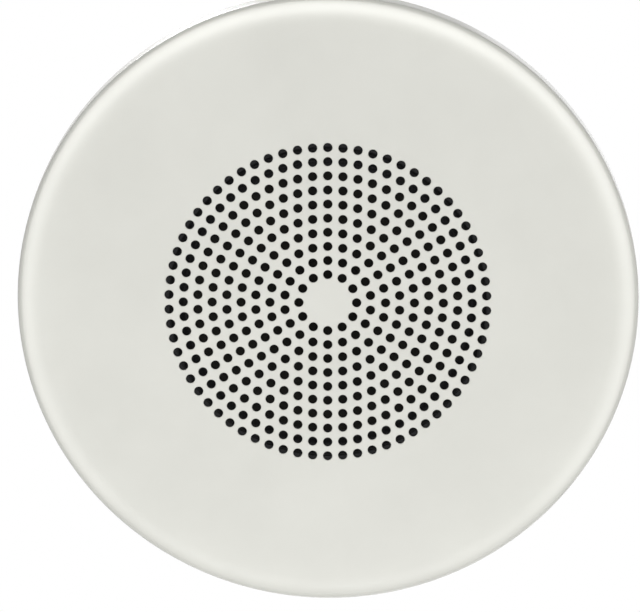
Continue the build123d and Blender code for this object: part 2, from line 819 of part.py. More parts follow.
os.makedirs("parts", exist_ok=True)
for name, piece in pieces.items():
    piece.label = name
    export_step(piece, f"parts/{name}.step")
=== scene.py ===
from math import pi, radians

import bmesh
import bpy
import numpy as np
from mathutils import Matrix, Vector
from mathutils.geometry import delaunay_2d_cdt


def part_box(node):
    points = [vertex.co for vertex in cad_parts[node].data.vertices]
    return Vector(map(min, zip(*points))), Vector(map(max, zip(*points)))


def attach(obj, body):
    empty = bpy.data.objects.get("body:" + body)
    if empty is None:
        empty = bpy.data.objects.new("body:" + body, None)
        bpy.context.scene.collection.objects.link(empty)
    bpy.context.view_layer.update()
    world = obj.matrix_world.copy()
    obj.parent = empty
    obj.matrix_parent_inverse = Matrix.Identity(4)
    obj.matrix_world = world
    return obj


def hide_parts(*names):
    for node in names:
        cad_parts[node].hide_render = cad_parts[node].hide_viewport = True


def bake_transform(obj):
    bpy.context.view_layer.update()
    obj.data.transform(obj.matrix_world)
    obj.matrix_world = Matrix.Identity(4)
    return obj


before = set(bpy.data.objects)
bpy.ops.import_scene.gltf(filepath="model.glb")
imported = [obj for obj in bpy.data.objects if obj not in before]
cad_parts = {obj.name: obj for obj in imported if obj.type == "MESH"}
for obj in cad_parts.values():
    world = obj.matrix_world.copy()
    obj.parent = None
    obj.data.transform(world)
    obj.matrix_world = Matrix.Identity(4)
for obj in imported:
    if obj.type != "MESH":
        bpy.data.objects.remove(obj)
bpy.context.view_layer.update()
scene = bpy.context.scene
scene.view_settings.view_transform = "Standard"
print("frame:", len(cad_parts), "nodes")

# pieces and camera are in mm, in the frame of the solids: Z up into the ceiling, face down; floor, card and
# lamps are in metres
mm = 0.001


def unit(vectors):
    # every row at length one
    return vectors / np.linalg.norm(vectors, axis=-1, keepdims=True)


def fullTurn(count):
    # so many even angles round a circle
    return np.arange(count) * 2 * pi / count


def onCircle(radius, angle, height):
    # x = r cos a, y = r sin a, z as given
    return np.stack(np.broadcast_arrays(radius * np.cos(angle), radius * np.sin(angle), height), -1)


def lengthAlong(path):
    # how far along a path each of its points lies
    return np.concatenate([[0], np.cumsum(np.linalg.norm(np.diff(path, axis=0), axis=1))])


def gridFaces(rows, columns, wrapRows=False):
    # quads between neighbouring rows and columns of a grid of closed rings, outward for rings that run
    # anticlockwise
    row = np.arange(rows if wrapRows else rows - 1)[:, None]
    column = np.arange(columns)[None]
    nextRow, nextColumn = (row + 1) % rows, (column + 1) % columns
    corners = (row * columns + column, row * columns + nextColumn,
               nextRow * columns + nextColumn, nextRow * columns + column)
    return np.stack(np.broadcast_arrays(*corners), -1).reshape(-1, 4)


def capped(grid, ends):
    # a grid of closed rings, with fans from its first ring to one end point and from its last to another
    rows, sides = grid.shape[:2]
    column = np.arange(sides)
    after = (column + 1) % sides
    top = (rows - 1) * sides
    end = np.full(sides, rows * sides)
    fans = np.concatenate([np.stack([end, after, column], -1),
                           np.stack([top + column, top + after, end + 1], -1)])
    return np.concatenate([grid.reshape(-1, 3), ends]), gridFaces(rows, sides), fans


def inScene(name, data):
    # a new object with this mesh, lamp or camera, linked
    thing = bpy.data.objects.new(name, data)
    scene.collection.objects.link(thing)
    return thing


def makePiece(name, points, quads, triangles=(), normals=None):
    # point and face arrays go into one mesh, with its own shading normals where they are known
    quads = np.asarray(quads, np.int32).reshape(-1, 4)
    triangles = np.asarray(triangles, np.int32).reshape(-1, 3)
    corners = np.concatenate([quads.ravel(), triangles.ravel()])
    counts = np.concatenate([np.full(len(quads), 4), np.full(len(triangles), 3)])
    starts = np.concatenate([[0], np.cumsum(counts)[:-1]])
    mesh = bpy.data.meshes.new(name)
    mesh.vertices.add(len(points))
    mesh.vertices.foreach_set("co", (points * mm).astype(np.float32).ravel())
    mesh.loops.add(len(corners))
    mesh.loops.foreach_set("vertex_index", corners)
    mesh.polygons.add(len(counts))
    mesh.polygons.foreach_set("loop_start", starts.astype(np.int32))
    mesh.update(calc_edges=True)
    mesh.shade_smooth()
    if normals is not None:
        mesh.normals_split_custom_set_from_vertices(normals.astype(np.float32))
    return inScene(name, mesh)


def dress(piece, material, slotName, body, *nodes):
    # finish, slot name, which is not used, the body it moves with, and the solids it stands for
    piece.data.materials.clear()
    piece.data.materials.append(material)
    if body:
        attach(piece, body)
    if nodes:
        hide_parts(*nodes)
    return piece


def cornerArcs(corners, back, ahead, radii, steps):
    # in every corner an arc that touches both sides, which lead back and ahead: its centre lies on the
    # bisector, as far out as the hypotenuse of radius and touch length; gives the points and the unit spokes
    back, ahead = unit(back), unit(ahead)
    cosine = (back * ahead).sum(1, keepdims=True)
    touch = radii / np.sqrt((1 - cosine) / (1 + cosine))
    centre = corners + unit(back + ahead) * np.sqrt(touch ** 2 + radii ** 2)
    first = (corners + back * touch - centre) / radii
    last = (corners + ahead * touch - centre) / radii
    sweep = np.arccos(np.clip((first * last).sum(1, keepdims=True), -1, 1))[:, None]
    share = np.linspace(0, 1, steps)[None, :, None]
    spokes = np.sin((1 - share) * sweep) * first[:, None] + np.sin(share * sweep) * last[:, None]
    spokes = spokes / np.sin(sweep)
    return centre[:, None] + radii[:, None] * spokes, spokes


def roundedOutline(corners, radii, steps=4):
    # a closed outline with an arc in every corner; gives the points and the normals that stand out of it
    corners = np.asarray(corners, float)
    radii = np.asarray(radii, float)[:, None]
    back, ahead = np.roll(corners, 1, 0) - corners, np.roll(corners, -1, 0) - corners
    points, spokes = cornerArcs(corners, back, ahead, radii, steps)
    turn = np.sign(ahead[:, :1] * back[:, 1:] - ahead[:, 1:] * back[:, :1])
    return points.reshape(-1, 2), (spokes * turn[:, None]).reshape(-1, 2)


def roundedPath(points, bend, steps=9):
    # a polyline whose inner corners become arcs of one radius
    points = np.asarray(points, float)
    inner = points[1:-1]
    radii = np.full((len(inner), 1), bend)
    arcs, _ = cornerArcs(inner, points[:-2] - inner, points[2:] - inner, radii, steps)
    return np.concatenate([points[:1], arcs.reshape(-1, 3), points[-1:]])


def outlineNormals(outline):
    # the tangent of a closed outline, by central differences, turned a quarter outwards
    tangent = np.roll(outline, -1, 0) - np.roll(outline, 1, 0)
    return unit(np.stack([tangent[:, 1], -tangent[:, 0]], -1))


def turned(outline, normals, segments, poles=False):
    # an outline (r, z) turned about Z; an outline from axis to axis closes in two poles
    def spun(flat):
        return onCircle(flat[:, :1], fullTurn(segments), flat[:, 1:])

    if not poles:
        quads = gridFaces(len(outline), segments, True)
        return spun(outline).reshape(-1, 3), quads, np.zeros((0, 3), int), spun(normals).reshape(-1, 3)
    ends = [[0, 0, outline[0, 1]], [0, 0, outline[-1, 1]]]
    normals = np.concatenate([spun(normals[1:-1]).reshape(-1, 3), [[0, 0, -1], [0, 0, 1]]])
    return *capped(spun(outline[1:-1]), ends), normals


def joined(parts):
    # several sets of points, quads, triangles and normals become one, each set's indices moved on
    points, quads, triangles, normals = zip(*parts)
    starts = np.cumsum([0] + [len(group) for group in points[:-1]])
    quads = [faces + start for faces, start in zip(quads, starts)]
    triangles = [faces + start for faces, start in zip(triangles, starts)]
    return tuple(np.concatenate(group) for group in (points, quads, triangles, normals))


def moved(part, places, turns=None):
    # copies of one set at several places, each first turned about Z
    turns = np.zeros(len(places)) if turns is None else turns
    copies = []
    for place, turn in zip(places, turns):
        cosine, sine = np.cos(turn), np.sin(turn)
        spin = np.array([[cosine, -sine, 0], [sine, cosine, 0], [0, 0, 1]])
        copies.append((part[0] @ spin.T + place, part[1], part[2], part[3] @ spin.T))
    return joined(copies)


def evenly(path, step):
    # the same path with points about one step apart
    length = lengthAlong(path)
    stations = np.linspace(0, length[-1], max(int(length[-1] / step), 2) + 1)
    return np.stack([np.interp(stations, length, path[:, axis]) for axis in range(3)], -1)


cutEnd = {"flat": 0.8, "round": 0.2}  # the end of a wire: its flat and its round, in radii


def tube(path, radius, sides, across, lobes=0, lobeDepth=0.0, lay=1.0):
    # a ring carried along a path: p = path + r (cos b N + sin b B), with N square to the tangent and to a
    # fixed direction; lobes make the ring wavy and turn once per lay, as strands do
    tangent = unit(np.gradient(path, axis=0))
    first = unit(np.cross(tangent, across))
    second = np.cross(tangent, first)
    angle = fullTurn(sides)
    wave = np.cos(lobes * (angle[None] - 2 * pi * lengthAlong(path)[:, None] / lay)) if lobes else 0
    reach = radius * (1 - lobeDepth / 2 + lobeDepth / 2 * wave) * np.ones((len(path), sides))
    out = np.cos(angle)[None, :, None] * first[:, None] + np.sin(angle)[None, :, None] * second[:, None]
    rings = path[:, None] + reach[..., None] * out
    start, end = path[:1, None], path[-1:, None]
    rings = np.concatenate([start + (rings[:1] - start) * cutEnd["flat"], rings,
                            end + (rings[-1:] - end) * cutEnd["flat"]])
    rings[1] += tangent[0] * radius * cutEnd["round"]
    rings[-2] -= tangent[-1] * radius * cutEnd["round"]
    around = np.concatenate([out[:1], out, out[-1:]]).reshape(-1, 3)
    return *capped(rings, path[[0, -1]]), np.concatenate([around, -tangent[:1], tangent[-1:]])


copying = {"doubles": 1e-6, "flat": 0.5, "corner": 35, "rounds": 2}  # metres, degrees, degrees, segments


def weldedCopy(node, name, bevel, finish, slotName, body="frame"):
    # a copy of a solid's mesh, its doubles merged and its flats joined, smooth across all but its corners,
    # which get a small round; it stands for that solid
    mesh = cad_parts[node].data.copy()
    mesh.name = name
    oldNormals = mesh.attributes.get("custom_normal")
    if oldNormals:
        mesh.attributes.remove(oldNormals)
    work = bmesh.new()
    work.from_mesh(mesh)
    bmesh.ops.remove_doubles(work, verts=work.verts, dist=copying["doubles"])
    bmesh.ops.dissolve_limit(work, angle_limit=radians(copying["flat"]), verts=work.verts, edges=work.edges)
    work.to_mesh(mesh)
    work.free()
    mesh.shade_smooth()
    mesh.set_sharp_from_angle(angle=radians(copying["corner"]))
    piece = inScene(name, mesh)
    if bevel:
        rounder = piece.modifiers.new("edge", "BEVEL")
        rounder.width = bevel * mm
        rounder.segments = copying["rounds"]
        rounder.limit_method = "ANGLE"
        rounder.angle_limit = radians(copying["corner"])
        rounder.harden_normals = True
    dress(piece, finish, slotName, body, node)


def linear(hexCode):
    # sRGB hex to linear light, with the straight foot of the curve
    channel = np.array([int(hexCode[i:i + 2], 16) for i in (1, 3, 5)]) / 255
    light = np.where(channel <= 0.04045, channel / 12.92, ((channel + 0.055) / 1.055) ** 2.4)
    return (*light.tolist(), 1.0)


def perMetre(millimetres, wave=False):
    # pattern scale for a feature of this size, on Object coordinates in metres; a wave repeats every pi / 10
    return 1000 / millimetres * (pi / 10 if wave else 1)


def bareTree(owner):
    # the emptied node tree of a material or a world
    owner.use_nodes = True
    owner.node_tree.nodes.clear()
    return owner.node_tree


def addNode(tree, kind, fixed=None, feeds=None, into=None, out=0, stops=(), **settings):
    # one shader node: its settings, its fixed sockets, what feeds the others, what its output goes into, and
    # the sRGB stops of a colour ramp; gives the output named, or else the first
    node = tree.nodes.new("ShaderNode" + kind)
    for key, value in settings.items():
        setattr(node, key, value)
    for socket, value in (fixed or {}).items():
        node.inputs[socket].default_value = value
    for socket, source in (feeds or {}).items():
        tree.links.new(source, node.inputs[socket])
    for number, (position, hexCode) in enumerate(stops):
        ramp = node.color_ramp.elements
        stop = ramp[number] if number < len(ramp) else ramp.new(position)
        stop.position, stop.color = position, linear(hexCode)
    given = node.outputs[out] if node.outputs else None
    if into:
        tree.links.new(given, into)
    return given


def startFinish(name, fixed):
    # a material with its constants; its patterns read Object coordinates
    material = bpy.data.materials.new(name)
    tree = bareTree(material)
    surface = addNode(tree, "BsdfPrincipled", fixed)
    addNode(tree, "OutputMaterial", feeds={"Surface": surface})
    return material, tree, surface.node.inputs, {"Vector": addNode(tree, "TexCoord", out="Object")}


noiseSpan = (0.3, 0.7)  # a noise pattern mostly stays between these two values


def layFinish(tree, sockets, tone, stops, gloss=None, relief=None, sunk=False):
    # one pattern gives the tone by a colour ramp; gloss maps a pattern's span to roughness; relief is a bump
    # from a pattern, with its strength and its height in mm, turned inwards if sunk
    addNode(tree, "ValToRGB", feeds={"Fac": tone}, into=sockets["Base Color"], stops=stops)
    if gloss:
        pattern, span, rough = gloss
        limits = dict(zip(("From Min", "From Max", "To Min", "To Max"), (*span, *rough)))
        addNode(tree, "MapRange", limits, {"Value": pattern}, into=sockets["Roughness"])
    if relief:
        pattern, strength, height = relief
        addNode(tree, "Bump", {"Strength": strength, "Distance": height * mm}, {"Height": pattern},
                into=sockets["Normal"], invert=sunk)


def patterned(name, fixed, kind, features, stops, gloss=None, relief=None, sunk=False, **settings):
    # a finish with one pattern, which gives its tone and, where they are set, its gloss and its relief
    material, tree, sockets, place = startFinish(name, fixed)
    pattern = addNode(tree, kind, features, place, **settings)
    layFinish(tree, sockets, pattern, stops, gloss and (pattern, noiseSpan, gloss),
              relief and (pattern, *relief), sunk)
    return material


# polyester powder coat, sprayed and stoved: satin off-white, a faint orange peel, a slight cloud in the tone
powderCoat, tree, sockets, place = startFinish("polyester powder coat", {"IOR": 1.5})
cloud = addNode(tree, "TexNoise", {"Scale": perMetre(60), "Detail": 3}, place)
peel = addNode(tree, "TexNoise", {"Scale": perMetre(1.6), "Detail": 2, "Roughness": 0.45}, place)
layFinish(tree, sockets, cloud, [(0.3, "#D5D5CE"), (0.7, "#DADAD3")], (peel, noiseSpan, (0.21, 0.27)),
          (peel, 0.12, 0.04))

# bright zinc plate on pressed steel: cool grey metal, a thin cloud of passivation, fine grit in the gloss
zincSteel, tree, sockets, place = startFinish("zinc plated steel", {"Metallic": 1.0})
cloud = addNode(tree, "TexNoise", {"Scale": perMetre(9), "Detail": 4, "Roughness": 0.6}, place)
grit = addNode(tree, "TexNoise", {"Scale": perMetre(0.7), "Detail": 3}, place)
layFinish(tree, sockets, cloud, [(0.25, "#A9ADB0"), (0.5, "#B7BABB"), (0.8, "#BFBEB8")],
          (grit, noiseSpan, (0.26, 0.42)), (grit, 0.15, 0.03))

# faced and zinc plated pole plate: the same metal with the rings of the facing cut; rings of 0.2 mm drawn at
# 2.2 mm to show
facedZinc, tree, sockets, place = startFinish("faced and plated steel", {"Metallic": 1.0})
cloud = addNode(tree, "TexNoise", {"Scale": perMetre(16), "Detail": 4, "Roughness": 0.6}, place)
rings = addNode(tree, "TexWave",
                {"Scale": perMetre(2.2, True), "Distortion": 0.6, "Detail": 3, "Detail Scale": 4.0}, place,
                out="Fac", wave_type="RINGS", rings_direction="Z")
layFinish(tree, sockets, cloud, [(0.25, "#969B9F"), (0.5, "#A4A8AA"), (0.8, "#ADACA6")],
          (rings, (0.0, 1.0), (0.3, 0.44)), (rings, 0.6, 0.06))

# black electro-coat on stamped steel: thin satin black film with a fine grain and a little settled dust
basketCoat, tree, sockets, place = startFinish("black electro-coat", {"Specular IOR Level": 0.35})
grain = addNode(tree, "TexNoise", {"Scale": perMetre(0.9), "Detail": 3}, place)
dust = addNode(tree, "TexNoise", {"Scale": perMetre(14), "Detail": 5, "Roughness": 0.65}, place)
layFinish(tree, sockets, dust, [(0.35, "#141517"), (0.75, "#232426")], (dust, noiseSpan, (0.34, 0.52)),
          (grain, 0.2, 0.04))

# closed-cell EPDM foam, die cut: dead black with small open pores
gasketFoam = patterned("EPDM foam", {"Roughness": 0.95}, "TexVoronoi", {"Scale": perMetre(0.9)},
                       [(0.0, "#0A0A0A"), (0.6, "#1C1C1D")], relief=(0.6, 0.2))

# felted paper pulp, dyed: matt charcoal with paler fibres lying every way
conePaper = patterned("dyed paper pulp", {"Roughness": 0.9}, "TexNoise",
                      {"Scale": perMetre(2.2), "Detail": 6, "Roughness": 0.7, "Distortion": 2.5},
                      [(0.35, "#161514"), (0.62, "#24221F"), (0.72, "#3D3A35")], relief=(0.5, 0.12))

# cotton cloth, pressed into pleats: black under a tacky varnish for the surround, its threads of 0.4 mm drawn
# at 1.6 mm to show; amber, dipped in resin and stiff, for the spider, threads of 0.5 mm drawn at 1.8 mm
clothFinishes = []
for name, thread, waver, roughness, relief, stops in (
        ("coated cotton cloth", 1.6, 0.4, 0.55, (0.5, 0.1), [(0.0, "#0B0B0C"), (0.8, "#1B1B1D")]),
        ("resin-dipped cotton cloth", 1.8, 0.5, 0.6, (0.6, 0.12),
         [(0.0, "#6E4312"), (0.5, "#A9701F"), (1.0, "#C48A35")])):
    cloth, tree, sockets, place = startFinish(name, {"Roughness": roughness})
    warp, weft = [addNode(tree, "TexWave", {"Scale": perMetre(thread, True), "Distortion": waver}, place,
                          out="Fac", bands_direction=way) for way in ("X", "Y")]
    weave = addNode(tree, "Math", feeds={0: warp, 1: weft}, operation="MULTIPLY")
    layFinish(tree, sockets, weave, stops, relief=(weave, *relief))
    clothFinishes.append(cloth)
surroundCloth, spiderCloth = clothFinishes

# rolled aluminium foil: bright, with fine rolling lines round the coil former
formerFoil = patterned("rolled aluminium foil", {"Metallic": 1.0, "Roughness": 0.28}, "TexWave",
                       {"Scale": perMetre(1, True), "Distortion": 1.5, "Detail": 2},
                       [(0.0, "#B8BABC"), (1.0, "#D2D3D4")], out="Fac", bands_direction="Z")

# enamelled copper wire, wound in rings; turns of 0.2 mm drawn at 1 mm to show
coilCopper = patterned("enamelled copper wire", {"Metallic": 0.9, "Roughness": 0.3}, "TexWave",
                       {"Scale": perMetre(1, True)}, [(0.0, "#4A1E0C"), (0.5, "#A8522A"), (1.0, "#C97A4A")],
                       relief=(0.8, 0.1), out="Fac", bands_direction="Z", wave_profile="SIN")

# sintered ferrite, ground on its faces: dark warm grey, dull sheen, tiny chips and a stony grain
ferrite, tree, sockets, place = startFinish("sintered ferrite",
                                            {"Roughness": 0.58, "Specular IOR Level": 0.45})
grain = addNode(tree, "TexNoise", {"Scale": perMetre(1.4), "Detail": 6, "Roughness": 0.7}, place)
chips = addNode(tree, "TexVoronoi", {"Scale": perMetre(3.5), "Randomness": 1.0}, place)
pits = addNode(tree, "MapRange", {"From Min": 0.0, "From Max": 0.12}, {"Value": chips})
stone = addNode(tree, "Math", {1: 0.6}, {0: pits, 2: grain}, operation="MULTIPLY_ADD")
layFinish(tree, sockets, grain, [(0.3, "#262528"), (0.6, "#363538"), (0.8, "#454448")],
          relief=(stone, 0.45, 0.12))

# paper-phenolic laminate, sheared: brown, faintly mottled, with a waxy gloss
boardPhenolic = patterned("paper-phenolic laminate", {"Roughness": 0.38}, "TexNoise",
                          {"Scale": perMetre(1.8), "Detail": 5, "Roughness": 0.65},
                          [(0.3, "#5A3115"), (0.55, "#75431F"), (0.75, "#8A5529")], relief=(0.15, 0.03))

# hot-tinned brass: soft silver, slightly lumpy and uneven in gloss
tinnedBrass = patterned("tinned brass", {"Metallic": 1.0}, "TexNoise", {"Scale": perMetre(1.5), "Detail": 3},
                        [(0.3, "#B4B1A8"), (0.7, "#D3D1CA")], (0.22, 0.4), (0.3, 0.06))

# tinsel braid: copper foil wound on thread, dull silver-gold with dark gaps
tinselBraid = patterned("copper tinsel braid", {"Metallic": 0.85, "Roughness": 0.42}, "TexVoronoi",
                        {"Scale": perMetre(0.7)}, [(0.0, "#D2B98C"), (0.5, "#A3814F"), (0.9, "#4F3A20")],
                        relief=(0.6, 0.1), sunk=True)

# varnished silicon-steel stack: brown-grey sheet edges in fine rows; sheets of 0.5 mm drawn at 1.6 mm to show
coreSteel, tree, sockets, place = startFinish("varnished lamination stack",
                                              {"Metallic": 0.45, "Roughness": 0.42})
sheets = addNode(tree, "TexWave", {"Scale": perMetre(1.6, True), "Distortion": 0.3, "Detail": 1}, place,
                 out="Fac", bands_direction="Y")
rust = addNode(tree, "TexNoise", {"Scale": perMetre(5), "Detail": 5}, place)
stack = addNode(tree, "Math", {1: 0.55}, {0: sheets, 2: rust}, operation="MULTIPLY_ADD")
layFinish(tree, sockets, stack, [(0.35, "#2A2622"), (0.7, "#4D4741"), (1.0, "#6A635B")],
          relief=(sheets, 0.7, 0.15))

# moulded natural nylon: milky off-white, soft gloss, faint flow marks
bobbinNylon = patterned("moulded nylon", {"Roughness": 0.45, "Subsurface Weight": 0.15,
                                          "Subsurface Radius": (0.001, 0.0008, 0.0006)}, "TexNoise",
                        {"Scale": perMetre(6), "Detail": 2}, [(0.3, "#D9D3C1"), (0.7, "#E6E1D2")])

# polyester film tape over the winding: amber yellow, glossy, with the edges of its laps showing
windingTape = patterned("polyester film tape", {"Roughness": 0.22}, "TexWave",
                        {"Scale": perMetre(10.4, True), "Distortion": 0.2},
                        [(0.0, "#B8801A"), (0.08, "#D9A32B"), (1.0, "#E0AE3C")], relief=(0.5, 0.1),
                        out="Fac", bands_direction="Z", wave_profile="SAW")

# PVC lead insulation, extruded: even colour, soft gloss, faint drag lines
leadFinishes = {}
for leadName, darker, paler in (("red", "#9E1416", "#B41C1D"), ("black", "#0E0E0F", "#1A1A1B")):
    leadFinishes[leadName] = patterned(f"{leadName} PVC insulation", {"Roughness": 0.36}, "TexNoise",
                                       {"Scale": perMetre(3), "Detail": 3}, [(0.3, darker), (0.7, paler)],
                                       relief=(0.1, 0.04))

# cured epoxy: dark amber, glassy, where the ferrite was cemented
epoxyGlue = patterned("cured epoxy", {"Roughness": 0.18}, "TexNoise", {"Scale": perMetre(2.5), "Detail": 3},
                      [(0.3, "#1B120A"), (0.7, "#3A2714")])

# tin-lead solder: bright, slightly frosted, drawn up round the wire
solderTin = patterned("solder", {"Metallic": 1.0}, "TexNoise", {"Scale": perMetre(0.5), "Detail": 3},
                      [(0.3, "#A9A9A8"), (0.7, "#CFCFCD")], (0.16, 0.36))

# resistance weld: steel dulled and faintly browned in a small dished ring
weldMark = patterned("spot weld", {"Metallic": 0.9, "Roughness": 0.5}, "TexNoise",
                     {"Scale": perMetre(1.2), "Detail": 4},
                     [(0.3, "#77797D"), (0.55, "#8E8A84"), (0.75, "#A6A8AA")])
print("finishes:", len(bpy.data.materials))

# perforated baffle: one drawn and punched sheet
pan = {"radius": 163.5, "depth": 15.0, "sheet": 0.8, "edgeRun": 13.0, "edgeRise": 5.0, "edgeSteps": 15,
       "cutEdge": 0.25, "cutSteps": 4, "rimSegments": 240, "pitch": 7.6, "rings": range(2, 12), "perRing": 6,
       "hole": 2.4, "lip": 0.3, "holeSides": 20, "merge": 1e-6}


def perforatedPan(size):
    # ring n carries 6 n holes at n pitches, from the +Y side on; each hole is a short barrel with rounded
    # lips; the shoulder is a quarter ellipse r = flat + run sin t, z = face + rise (1 - cos t), that turns
    # into the upright skirt; the flats are what a plane has left between the holes and the shoulder
    sheet, cut, segments, sides = size["sheet"], size["cutEdge"], size["rimSegments"], size["holeSides"]
    face = -size["depth"]
    inner = face + sheet
    flat = size["radius"] - size["edgeRun"]
    quarter = np.linspace(0, pi / 2, size["edgeSteps"])
    arcs, slopes = [], []
    for level, less in ((face, 0), (inner, sheet)):
        run, rise = size["edgeRun"] - less, size["edgeRise"] - less
        arcs.append(np.stack([flat + run * np.sin(quarter), level + rise * (1 - np.cos(quarter))], -1))
        slopes.append(np.stack([np.sin(quarter) / run, -np.cos(quarter) / rise], -1))
    turn = np.linspace(0, pi / 2, size["cutSteps"])
    outward = np.stack([np.cos(turn), np.sin(turn)], -1)
    inward = np.stack([-np.sin(turn), np.cos(turn)], -1)
    cutOut = np.array([size["radius"] - cut, -cut]) + cut * outward
    cutIn = np.array([size["radius"] - sheet + cut, -cut]) + cut * inward
    profile = np.concatenate([arcs[0], cutOut, cutIn, arcs[1][::-1]])
    normal = unit(np.concatenate([slopes[0], outward, inward, -slopes[1][::-1]]))
    rimPoints, _, _, rimNormals = turned(profile, normal, segments)
    rimFaces = gridFaces(len(profile), segments)

    ring = np.concatenate([np.full(size["perRing"] * n, n) for n in size["rings"]])
    step = np.concatenate([np.arange(size["perRing"] * n) for n in size["rings"]])
    centres = onCircle(size["pitch"] * ring, pi / 2 + 2 * pi * step / (size["perRing"] * ring), 0)
    count = len(centres)
    lip, hole = size["lip"], size["hole"]
    barrel = np.array([[hole + lip, inner], [hole, inner - lip], [hole, face + lip], [hole + lip, face]])
    barrelNormal = np.array([[0, 1], [-1, 0], [-1, 0], [0, -1]], float)
    oneHole, _, _, holeNormals = turned(barrel, barrelNormal, sides)
    starts = len(rimPoints) + len(oneHole) * np.arange(count)[:, None]
    holeFaces = (gridFaces(len(barrel), sides) + starts[:, None]).reshape(-1, 4)
    points = np.concatenate([rimPoints, (oneHole + centres[:, None]).reshape(-1, 3)])
    normals = np.concatenate([rimNormals, np.tile(holeNormals, (count, 1))])

    def loopEdges(corners):
        return np.stack([np.arange(corners), np.roll(np.arange(corners), -1)], -1)

    holeEdges = segments + sides * np.arange(count)[:, None, None] + loopEdges(sides)
    edges = np.concatenate([loopEdges(segments), holeEdges.reshape(-1, 2)]).tolist()
    owner = np.concatenate([np.full(segments, -1), np.repeat(np.arange(count), sides)])
    flats = []
    for rimRow, holeRow, flip in ((0, len(barrel) - 1, True), (len(profile) - 1, 0, False)):
        index = np.concatenate([rimRow * segments + np.arange(segments),
                                (starts + holeRow * sides + np.arange(sides)).ravel()])
        spots = [Vector(spot) for spot in points[index][:, :2].tolist()]
        _, _, cells, sources, _, _ = delaunay_2d_cdt(spots, edges, [], 0, size["merge"])
        cells = np.array([source[0] for source in sources])[np.array(cells)]
        owners = owner[cells]
        inHole = (owners == owners[:, :1]).all(1) & (owners[:, 0] >= 0)
        cells = index[cells[~inHole]]
        flats.append(cells[:, ::-1] if flip else cells)
    quads = np.concatenate([rimFaces, holeFaces])
    return makePiece("perforatedPan", points, quads, np.concatenate(flats), normals)


dress(perforatedPan(pan), powderCoat, "baffle_paint", "frame", "grille_baffle")
print("baffle:", pan["perRing"] * sum(pan["rings"]), "holes")

# welded studs with rolled M4 threads, and their flange nuts
studs = {"circle": 96.9, "count": 4, "firstAt": 45, "foot": -14.2, "length": 11.0, "root": 1.72, "crest": 2.1,
         "pitch": 0.7, "flank": 0.35, "tip": 0.5, "tipShare": 0.45, "rows": 66, "sides": 24, "collar": 3.0,
         "collarShare": 0.82, "collarHeight": 0.8, "collarRounds": (0.005, 0.15, 0.3, 0.005),
         "collarSides": 32, "core": 0.01}


def threadedStud(size):
    # r = root + (crest - root) times a wave of (z / pitch - a / turn), drawn in at the tip, over a low collar
    foot, core = size["foot"], size["core"]
    height = np.linspace(size["collarHeight"] / 2, size["length"], size["rows"])[:, None]
    angle = fullTurn(size["sides"])[None]
    wave = 0.5 + 0.5 * np.cos(2 * pi * height / size["pitch"] - angle)
    tip = np.clip((size["length"] - height) / size["tip"], 0, 1) * (1 - size["tipShare"]) + size["tipShare"]
    reach = (size["root"] + (size["crest"] - size["root"]) * wave) * tip
    ends = [[0, 0, foot + size["collarHeight"] / 2], [0, 0, foot + size["length"]]]
    points, quads, fans = capped(onCircle(reach, angle, height + foot), ends)
    slopes = points.copy()
    climb = 2 * pi * (points[:, 2] - foot) / size["pitch"]
    slopes[:, 2] = size["flank"] * np.sin(np.arctan2(points[:, 1], points[:, 0]) - climb)
    slopes[-2:] = [[0, 0, -1], [0, 0, 1]]
    level = foot + size["collarHeight"]
    shoulder = size["collar"] * size["collarShare"]
    collar = roundedOutline([(core, foot), (size["collar"], foot), (shoulder, level), (core, level)],
                            size["collarRounds"])
    return joined([(points, quads, fans, unit(slopes)), turned(*collar, size["collarSides"])])


studPlaces = onCircle(studs["circle"], radians(studs["firstAt"]) + fullTurn(studs["count"]), 0)
dress(makePiece("threadedStuds", *moved(threadedStud(studs), studPlaces)), zincSteel, "zinc_steel", "frame",
      "weld_studs")
weldedCopy("stud_nuts", "flangeNuts", 0.25, zincSteel, "zinc_steel")
weldedCopy("gasket_ring", "foamGasket", 0.3, gasketFoam, "gasket_foam")
weldedCopy("basket", "stampedBasket", 0.12, basketCoat, "basket_coat")
print("studs, nuts, gasket and basket")

# motor: plates, ferrite ring and pole, each turned from the corners (r, z) of its section
motor = {
    "frontPlate": {"corners": [(14.0, 34.8), (37.5, 34.8), (37.5, 39.8), (14.0, 39.8)],
                   "rounds": [0.2, 0.7, 0.7, 0.2], "segments": 128},
    "ferriteRing": {"corners": [(21.0, 39.8), (40.0, 39.8), (40.0, 54.8), (21.0, 54.8)],
                    "rounds": [0.8, 0.8, 0.8, 0.8], "segments": 160},
    "yokeAndPole": {"corners": [(0.02, 34.3), (12.3, 34.3), (12.3, 54.8), (37.5, 54.8), (37.5, 59.8),
                                (0.02, 59.8)],
                    "rounds": [0.01, 0.3, 0.3, 0.7, 0.7, 0.01], "segments": 128},
}
for name, finish, slotName, node in (("frontPlate", facedZinc, "zinc_steel", "front_plate"),
                                     ("ferriteRing", ferrite, "ferrite", "magnet_ring"),
                                     ("yokeAndPole", facedZinc, "zinc_steel", "pole_yoke")):
    section = roundedOutline(motor[name]["corners"], motor[name]["rounds"])
    dress(makePiece(name, *turned(*section, motor[name]["segments"])), finish, slotName, "frame", node)
weldedCopy("plate_rivets", "plateRivets", 0.2, zincSteel, "zinc_steel")

# glue pressed out at both faces of the magnet; each wave has its count, its depth and its share of the wander
glue = {"corner": 37.45, "topZ": 54.8, "lowZ": 39.8, "bead": 0.55, "rows": 9, "segments": 180,
        "waves": ((3, 0.35, 1), (7, 0.25, 2), (17, 0.15, 0))}


